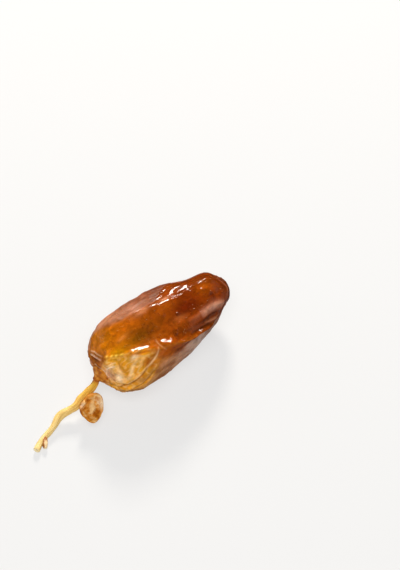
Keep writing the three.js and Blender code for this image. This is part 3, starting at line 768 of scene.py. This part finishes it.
def make_bare_cap(foot, middle, facing):
    foot, middle, facing = np.array(foot), np.array(middle), unit(np.array(facing))
    points, local = bare_rings(foot, middle, facing)
    inner = smooth(local[:, 2], 0.85, 1.0)
    around = np.degrees(np.arctan2(local[:, 1], local[:, 0]))
    out = np.hypot(local[:, 0], local[:, 1])
    relief = bare_relief(points, local, inner, out)
    across = unit(points - (foot + middle) / 2)
    points = points + relief[:, None] * (facing * inner[:, None] + 0.6 * across * (1 - inner)[:, None])
    # Painted shade: the rim is darker on its left side
    rim_shade = rim_part(around % 360, *RIM_SHADE) * smooth(out, 2.3, 2.8)
    pale_rim = sum(rim_part(around, *part) for part in PALE_RIMS)
    # Its relief mark also sets its colour: painted shade in the hollows and painted light on the lumps
    marks = {
        "relief": relief - 0.25 * (1 - inner) - 0.5 * rim_shade,
        "pale": smooth(out, 1.7, 2.4) * pale_rim * inner,
    }
    make_cap("bare_cap_woody", points, marks, "bare_cap")


def new_material(name):
    material = bpy.data.materials.new(name)
    material.use_nodes = True
    tree = material.node_tree
    tree.nodes.clear()
    shader = tree.nodes.new("ShaderNodeBsdfPrincipled")
    output = tree.nodes.new("ShaderNodeOutputMaterial")
    tree.links.new(shader.outputs["BSDF"], output.inputs["Surface"])
    return material, tree, shader


def plug(tree, socket, value):
    if isinstance(value, bpy.types.NodeSocket):
        tree.links.new(value, socket)
    else:
        socket.default_value = value


def set_inputs(node, values):
    for name, value in values.items():
        node.inputs[name].default_value = value


def mark(tree, name):
    node = tree.nodes.new("ShaderNodeAttribute")
    node.attribute_name = name
    return node.outputs["Fac"]


def calc(tree, operation, a, b):
    node = tree.nodes.new("ShaderNodeMath")
    node.operation = operation
    plug(tree, node.inputs[0], a)
    plug(tree, node.inputs[1], b)
    return node.outputs[0]


def times(tree, a, b):
    return calc(tree, "MULTIPLY", a, b)


def blend(tree, share, a, b):
    node = tree.nodes.new("ShaderNodeMix")
    node.data_type = "RGBA"
    plug(tree, node.inputs[0], share)
    plug(tree, node.inputs[6], a)
    plug(tree, node.inputs[7], b)
    return node.outputs[2]


def scaled(tree, colour, factor):
    node = tree.nodes.new("ShaderNodeVectorMath")
    node.operation = "SCALE"
    plug(tree, node.inputs[0], colour)
    plug(tree, node.inputs["Scale"], factor)
    return node.outputs[0]


def ramp(tree, value, low, high, to_low=0.0, to_high=1.0):
    node = tree.nodes.new("ShaderNodeMapRange")
    node.interpolation_type = "SMOOTHSTEP"
    for socket, number in zip(node.inputs, (value, low, high, to_low, to_high)):
        plug(tree, socket, number)
    return node.outputs[0]


def colours(tree, value, stops):
    node = tree.nodes.new("ShaderNodeValToRGB")
    plug(tree, node.inputs[0], value)
    points = node.color_ramp.elements
    while len(points) < len(stops):
        points.new(0.5)
    for point, (place, colour) in zip(points, stops):
        point.position = place
        point.color = colour
    return node.outputs[0]


def noise_node(tree, vector, values):
    node = tree.nodes.new("ShaderNodeTexNoise")
    tree.links.new(vector, node.inputs["Vector"])
    set_inputs(node, values)
    return node.outputs["Fac"]


def mottle(tree, size_mm, detail, stretch=(1, 1, 1), warp=0.0):
    """Noise from 0 to 1 in the object's own space, with spots of about size_mm."""
    coords = tree.nodes.new("ShaderNodeTexCoord")
    mapping = tree.nodes.new("ShaderNodeMapping")
    mapping.inputs["Scale"].default_value = stretch
    tree.links.new(coords.outputs["Object"], mapping.inputs["Vector"])
    values = {"Scale": 1 / (size_mm * MM), "Detail": detail, "Roughness": 0.55, "Distortion": warp}
    return noise_node(tree, mapping.outputs[0], values)


def centred(tree, share, height):
    """Noise from 0 to 1 turned into heights round 0."""
    return times(tree, calc(tree, "SUBTRACT", share, 0.5), height)


def bump(tree, shader, layers):
    """Fine relief: each layer is (height from 0 to 1, depth in mm)."""
    normal = None
    for height, depth in layers:
        node = tree.nodes.new("ShaderNodeBump")
        node.inputs["Distance"].default_value = depth * MM
        plug(tree, node.inputs["Height"], height)
        if normal:
            plug(tree, node.inputs["Normal"], normal)
        normal = node.outputs[0]
    tree.links.new(normal, shader.inputs["Normal"])


def skin_material():
    material, tree, shader = new_material("date_skin")
    tint = tree.nodes.new("ShaderNodeAttribute")
    tint.attribute_name = "tint"
    clouds = mottle(tree, 2.6, 4.0, (0.55, 1, 1), warp=0.6)
    specks = mottle(tree, 0.8, 5.0, (0.7, 1, 1))
    cloudy = ramp(tree, clouds, 0.34, 0.66, 0.78, 1.18)
    speckled = ramp(tree, specks, 0.34, 0.66, -0.12, 0.12)
    colour = scaled(tree, tint.outputs["Vector"], calc(tree, "ADD", cloudy, speckled))
    ragged = centred(tree, specks, 0.6)
    sides = [calc(tree, "ADD", mark(tree, side), ragged) for side in ("far", "near")]
    loose = calc(tree, "MAXIMUM", *(ramp(tree, side, 0.25, 0.8) for side in sides))
    bloom = times(tree, loose, ramp(tree, clouds, 0.5, 0.68))
    colour = blend(tree, times(tree, bloom, 0.12), colour, srgb(206, 164, 140))
    stain = times(tree, loose, ramp(tree, clouds, 0.48, 0.34))
    colour = blend(tree, times(tree, stain, 0.45), colour, srgb(140, 74, 30))
    tree.links.new(colour, shader.inputs["Base Color"])

    rough = calc(tree, "ADD", ramp(tree, loose, 0, 1, 0.06, 0.46), times(tree, specks, 0.06))
    tree.links.new(rough, shader.inputs["Roughness"])
    set_inputs(shader, {
        "IOR": 1.33,
        "Specular IOR Level": 0.35,
        "Subsurface Weight": 0.15,
        "Subsurface Radius": (1.0, 0.35, 0.1),
        "Subsurface Scale": 1.2 * MM,
    })
    pucker = mottle(tree, 0.5, 3.0, (0.35, 1, 1), warp=0.8)
    loose_pucker = times(tree, pucker, calc(tree, "ADD", times(tree, loose, 0.8), 0.2))
    blisters = ramp(tree, mottle(tree, 0.9, 1.0), 0.6, 0.67)
    bump(tree, shader, [(loose_pucker, 0.07), (blisters, 0.08), (mottle(tree, 0.3, 3.0), 0.014)])
    return material


def fibre_noise(tree, lengthwise_mm, crosswise):
    """Noise drawn out along the strand, from how far along and how far round each point is."""
    vector = tree.nodes.new("ShaderNodeCombineXYZ")
    plug(tree, vector.inputs[0], calc(tree, "DIVIDE", mark(tree, "along"), lengthwise_mm))
    for socket, name in zip(vector.inputs[1:], ("cos_turn", "sin_turn")):
        plug(tree, socket, times(tree, mark(tree, name), crosswise))
    return noise_node(tree, vector.outputs[0], {"Scale": 1.0, "Detail": 3.0})


def strand_material():
    material, tree, shader = new_material("dry_strand")
    fibres = fibre_noise(tree, 3.0, 5.0)
    clouds = mottle(tree, 2.5, 4.0)
    colour = colours(tree, fibres, [
        (0.3, srgb(196, 132, 26)), (0.5, srgb(224, 168, 46)), (0.7, srgb(236, 192, 80)),
    ])
    dry = colours(tree, fibres, [(0.3, srgb(212, 172, 92)), (0.65, srgb(238, 214, 148))])
    colour = blend(tree, mark(tree, "pale"), colour, dry)
    brown = ramp(tree, clouds, 0.56, 0.74)
    colour = blend(tree, times(tree, brown, 0.2), colour, srgb(176, 112, 38))
    colour = blend(tree, mark(tree, "ripe"), colour, srgb(184, 112, 26))
    # The nub's brown side is painted shade
    nub_colour = blend(tree, mark(tree, "pale"), srgb(156, 88, 20), srgb(236, 206, 158))
    colour = blend(tree, mark(tree, "nub"), colour, nub_colour)
    colour = blend(tree, times(tree, mark(tree, "cut"), 0.7), colour, srgb(242, 226, 180))
    tree.links.new(colour, shader.inputs["Base Color"])
    tree.links.new(ramp(tree, fibres, 0.3, 0.7, 0.62, 0.48), shader.inputs["Roughness"])
    bump(tree, shader, [(fibres, 0.06), (mottle(tree, 0.3, 3.0), 0.01)])
    return material


def cap_material():
    material, tree, shader = new_material("woody_cap")
    clouds = mottle(tree, 1.1, 5.0, warp=0.5)
    specks = mottle(tree, 0.4, 4.0)
    # The colour follows the relief: darker in hollows as painted shade, paler on lumps as painted light, over
    # the wood's own mottling
    height = calc(tree, "ADD", mark(tree, "relief"), centred(tree, clouds, 0.7))
    colour = colours(tree, ramp(tree, height, -0.75, 0.75), [
        (0.06, srgb(150, 78, 8)), (0.32, srgb(190, 114, 18)), (0.56, srgb(208, 144, 60)),
        (0.8, srgb(232, 188, 126)),
    ])
    pale = times(tree, mark(tree, "pale"), ramp(tree, specks, 0.3, 0.6, 0.5, 1.0))
    colour = blend(tree, times(tree, pale, 0.85), colour, srgb(230, 204, 174))
    tree.links.new(colour, shader.inputs["Base Color"])
    tree.links.new(ramp(tree, specks, 0.3, 0.7, 0.4, 0.62), shader.inputs["Roughness"])
    shader.inputs["Specular IOR Level"].default_value = 0.35
    bump(tree, shader, [(clouds, 0.12), (specks, 0.05)])
    return material


# The camera looks as the photograph does: the place of one known point in it gives the aim.
PHOTO_SIZE = (400, 570)
MM_PER_PIXEL = 0.25
WIDEST_PLACE_PIXEL = (142.2, 342.9)  # where the middle of the fruit's widest place is
VIEW_AZIMUTH = -39.7
VIEW_ELEVATION = 57.0
VIEW_DISTANCE = 3000.0
SENSOR = 36.0


def bearing(azimuth, elevation):
    """The direction from the date towards a place at these angles, where azimuth 0 is the front."""
    azimuth, elevation = math.radians(azimuth), math.radians(elevation)
    return np.array([
        math.sin(azimuth) * math.cos(elevation),
        -math.cos(azimuth) * math.cos(elevation),
        math.sin(elevation),
    ])


def view_axes():
    azimuth = math.radians(VIEW_AZIMUTH)
    back = bearing(VIEW_AZIMUTH, VIEW_ELEVATION)
    right = np.array([math.cos(azimuth), math.sin(azimuth), 0])
    return right, np.cross(back, right), back


def look(name, data, place, toward):
    """An object at a place, in mm, that faces a point."""
    thing = bpy.data.objects.new(name, data)
    thing.location = Vector(place) * MM
    thing.rotation_euler = (Vector(toward) - Vector(place)).to_track_quat("-Z", "Y").to_euler()
    bpy.context.collection.objects.link(thing)
    return thing


def make_camera():
    right, up, back = view_axes()
    aside = (PHOTO_SIZE[0] / 2 - WIDEST_PLACE_PIXEL[0]) * MM_PER_PIXEL
    above = (WIDEST_PLACE_PIXEL[1] - PHOTO_SIZE[1] / 2) * MM_PER_PIXEL
    aim = SHIFT + [0, 0, AXIS_HEIGHT] + right * aside + up * above
    data = bpy.data.cameras.new("camera")
    data.sensor_fit = "HORIZONTAL"
    data.sensor_width = SENSOR
    data.lens = SENSOR * VIEW_DISTANCE / (PHOTO_SIZE[0] * MM_PER_PIXEL)
    data.clip_start = 0.01
    bpy.context.scene.camera = look("camera", data, aim + back * VIEW_DISTANCE, aim)


# The studio is brightest low down all round and dark overhead, so that the glossy skin keeps its colour. It
# is also dim on one side, and below the horizon, where the skin would otherwise reflect a bright floor.
SKY_COLOUR = (1, 0.93, 0.85, 1)
DIM_DIRECTION = (0.75, 0.66, 0.0)
SKY = (0.35, 0.62, 0.9, 0.08)  # two heights, and the light's strength at each
BELOW_HORIZON = (-0.3, 0.0, 0.15, 1.0)  # the same
DIM_SIDE = (0.3, 0.8, 1.0, 0.1)  # the same for how near a direction is to the dim one
FLOOR_REACH = 3  # metres to each side
FLOOR_DROP = 0.02  # how far the floor lies below the date
FLOOR_GREY = (0.2, 0.2, 0.2, 1)
FLOOR_GLOW = 0.64

# Name, azimuth and elevation, distance and size in mm, power, colour, and whether it shows in reflections
LIGHTS = [
    ("key", 139, 32, 600, 125, 5.1, (1, 0.94, 0.84), True),
    ("left", -135, 14, 600, 60, 0.15, (1, 1, 1), True),
    ("fill", -40, 70, 900, 500, 5.2, (1, 1, 1), False),
]


def area_light(name, azimuth, elevation, distance, size, power, colour, shines):
    """A soft square light, aimed at the date from a direction given as for the camera. One that doesn't shine
    only fills the shadows, with no reflection of its own."""
    data = bpy.data.lights.new(name, "AREA")
    data.size = size * MM
    data.energy = power
    data.color = colour
    lamp = look(name, data, bearing(azimuth, elevation) * distance, (0, 0, 5))
    lamp.visible_camera = False
    lamp.visible_glossy = shines


def make_floor():
    """A pale card that the date lies on, which its skin doesn't reflect."""
    material, _, shader = new_material("pale_card")
    set_inputs(shader, {
        "Base Color": FLOOR_GREY,
        "Roughness": 0.9,
        "Specular IOR Level": 0.0,
        "Emission Color": (1, 1, 1, 1),
        "Emission Strength": FLOOR_GLOW,
    })
    corners = [(x * FLOOR_REACH, y * FLOOR_REACH, 0) for x, y in ((-1, -1), (1, -1), (1, 1), (-1, 1))]
    mesh = bpy.data.meshes.new("floor")
    mesh.from_pydata(corners, [], [(0, 1, 2, 3)])
    mesh.materials.append(material)
    floor = bpy.data.objects.new("floor", mesh)
    floor.location.z = -FLOOR_DROP * MM
    bpy.context.collection.objects.link(floor)
    floor.visible_glossy = False


def make_sky():
    world = bpy.data.worlds.new("studio")
    world.use_nodes = True
    tree = world.node_tree
    way = tree.nodes.new("ShaderNodeTexCoord").outputs["Generated"]
    parts = tree.nodes.new("ShaderNodeSeparateXYZ")
    tree.links.new(way, parts.inputs[0])
    height = parts.outputs["Z"]
    strength = ramp(tree, height, *SKY)
    toward = tree.nodes.new("ShaderNodeVectorMath")
    toward.operation = "DOT_PRODUCT"
    tree.links.new(way, toward.inputs[0])
    toward.inputs[1].default_value = DIM_DIRECTION
    strength = times(tree, strength, ramp(tree, toward.outputs["Value"], *DIM_SIDE))
    strength = times(tree, strength, ramp(tree, height, *BELOW_HORIZON))
    background = tree.nodes["Background"]
    tree.links.new(strength, background.inputs["Strength"])
    background.inputs["Color"].default_value = SKY_COLOUR
    bpy.context.scene.world = world
    bpy.context.scene.view_settings.view_transform = "Standard"


make_fruit()
make_strand()
make_date_cap(**DATE_CAP)
make_bare_cap(**BARE_CAP)
make_camera()
make_floor()
make_sky()
for light in LIGHTS:
    area_light(*light)
